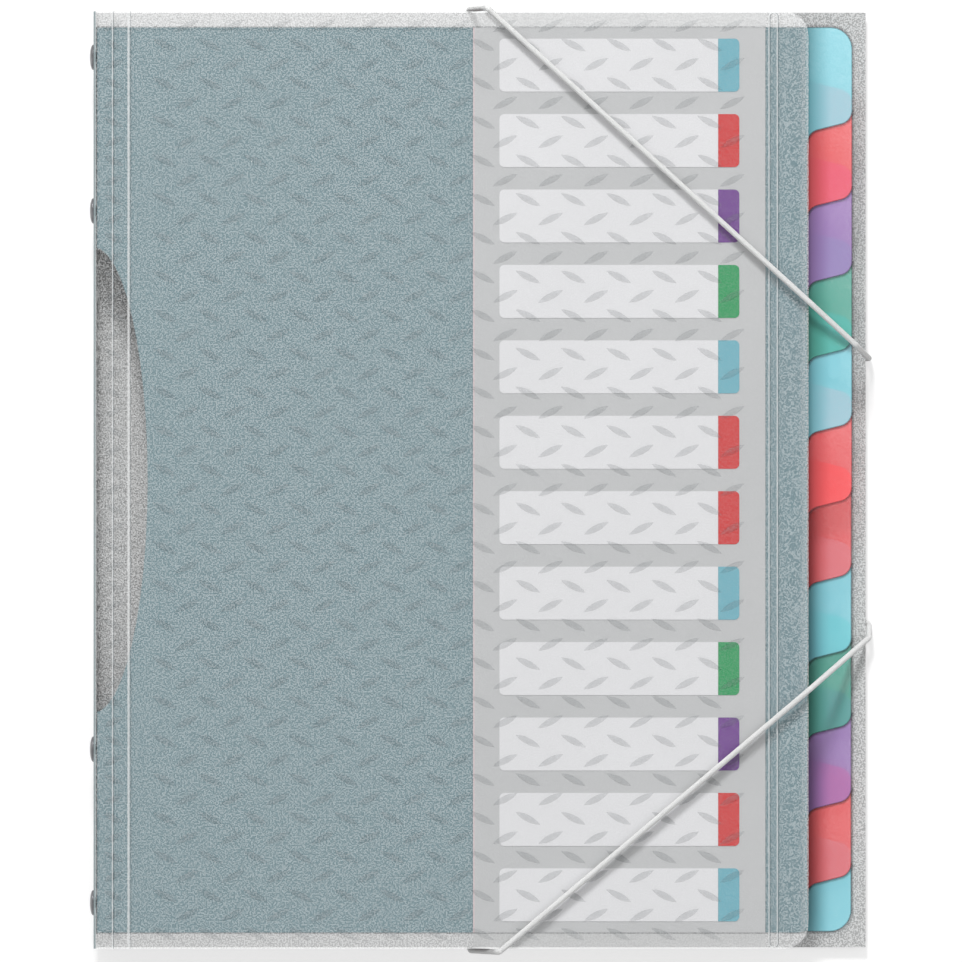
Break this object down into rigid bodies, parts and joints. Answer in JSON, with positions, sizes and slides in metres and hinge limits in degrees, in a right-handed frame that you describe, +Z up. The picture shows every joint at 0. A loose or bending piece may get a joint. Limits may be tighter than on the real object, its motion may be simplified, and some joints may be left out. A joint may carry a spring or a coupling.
{
  "type": "sorting folder",
  "caption": "Flat file folder with overlapping coloured tabbed dividers riveted into a see-through cover, a printed index and elastic corner cords.",
  "frame": {"origin": "under the middle of the folder, at the level it lies on", "axes": "+X from the spine towards the tabs, +Y towards the head of the pages, +Z up through the front cover"},
  "size_m": [0.2675, 0.3241, 0.023],
  "materials": {
    "cover_film": "embossed, see-through",
    "label_film": "smooth, printed",
    "leaf_blue": "satin",
    "leaf_red": "satin",
    "leaf_violet": "satin",
    "leaf_green": "satin",
    "rivet_steel": "satin",
    "tag_steel": "satin",
    "elastic_cord": "braided"
  },
  "bodies": {
    "folder": {"cover_back": "cover_film", "leaf_01": "leaf_blue", "leaf_02": "leaf_red", "leaf_03": "leaf_violet", "leaf_04": "leaf_green", "leaf_05": "leaf_blue", "leaf_06": "leaf_red", "leaf_07": "leaf_red", "leaf_08": "leaf_blue", "leaf_09": "leaf_green", "leaf_10": "leaf_violet", "leaf_11": "leaf_red", "leaf_12": "leaf_blue", "index_label": "label_film", "rivet_1": "rivet_steel", "rivet_2": "rivet_steel", "rivet_3": "rivet_steel", "rivet_4": "rivet_steel", "rivet_washer_1": "rivet_steel", "rivet_washer_2": "rivet_steel", "rivet_washer_3": "rivet_steel", "rivet_washer_4": "rivet_steel", "cord_tag_head": "tag_steel", "cord_tag_upper_side": "tag_steel", "cord_tag_tail": "tag_steel", "cord_tag_lower_side": "tag_steel", "elastic_upper": "elastic_cord", "elastic_lower": "elastic_cord"},
    "front": {"cover_front": "cover_film"}
  },
  "joints": [
    {"name": "front_cover_hinge", "type": "hinge", "parent": "folder", "child": "front", "pos_m": [-0.12035, 0, 0.0211], "axis": [0, -1, 0], "range_deg": [0, 180], "deforming": ["elastic_upper", "elastic_lower"]}
  ]
}
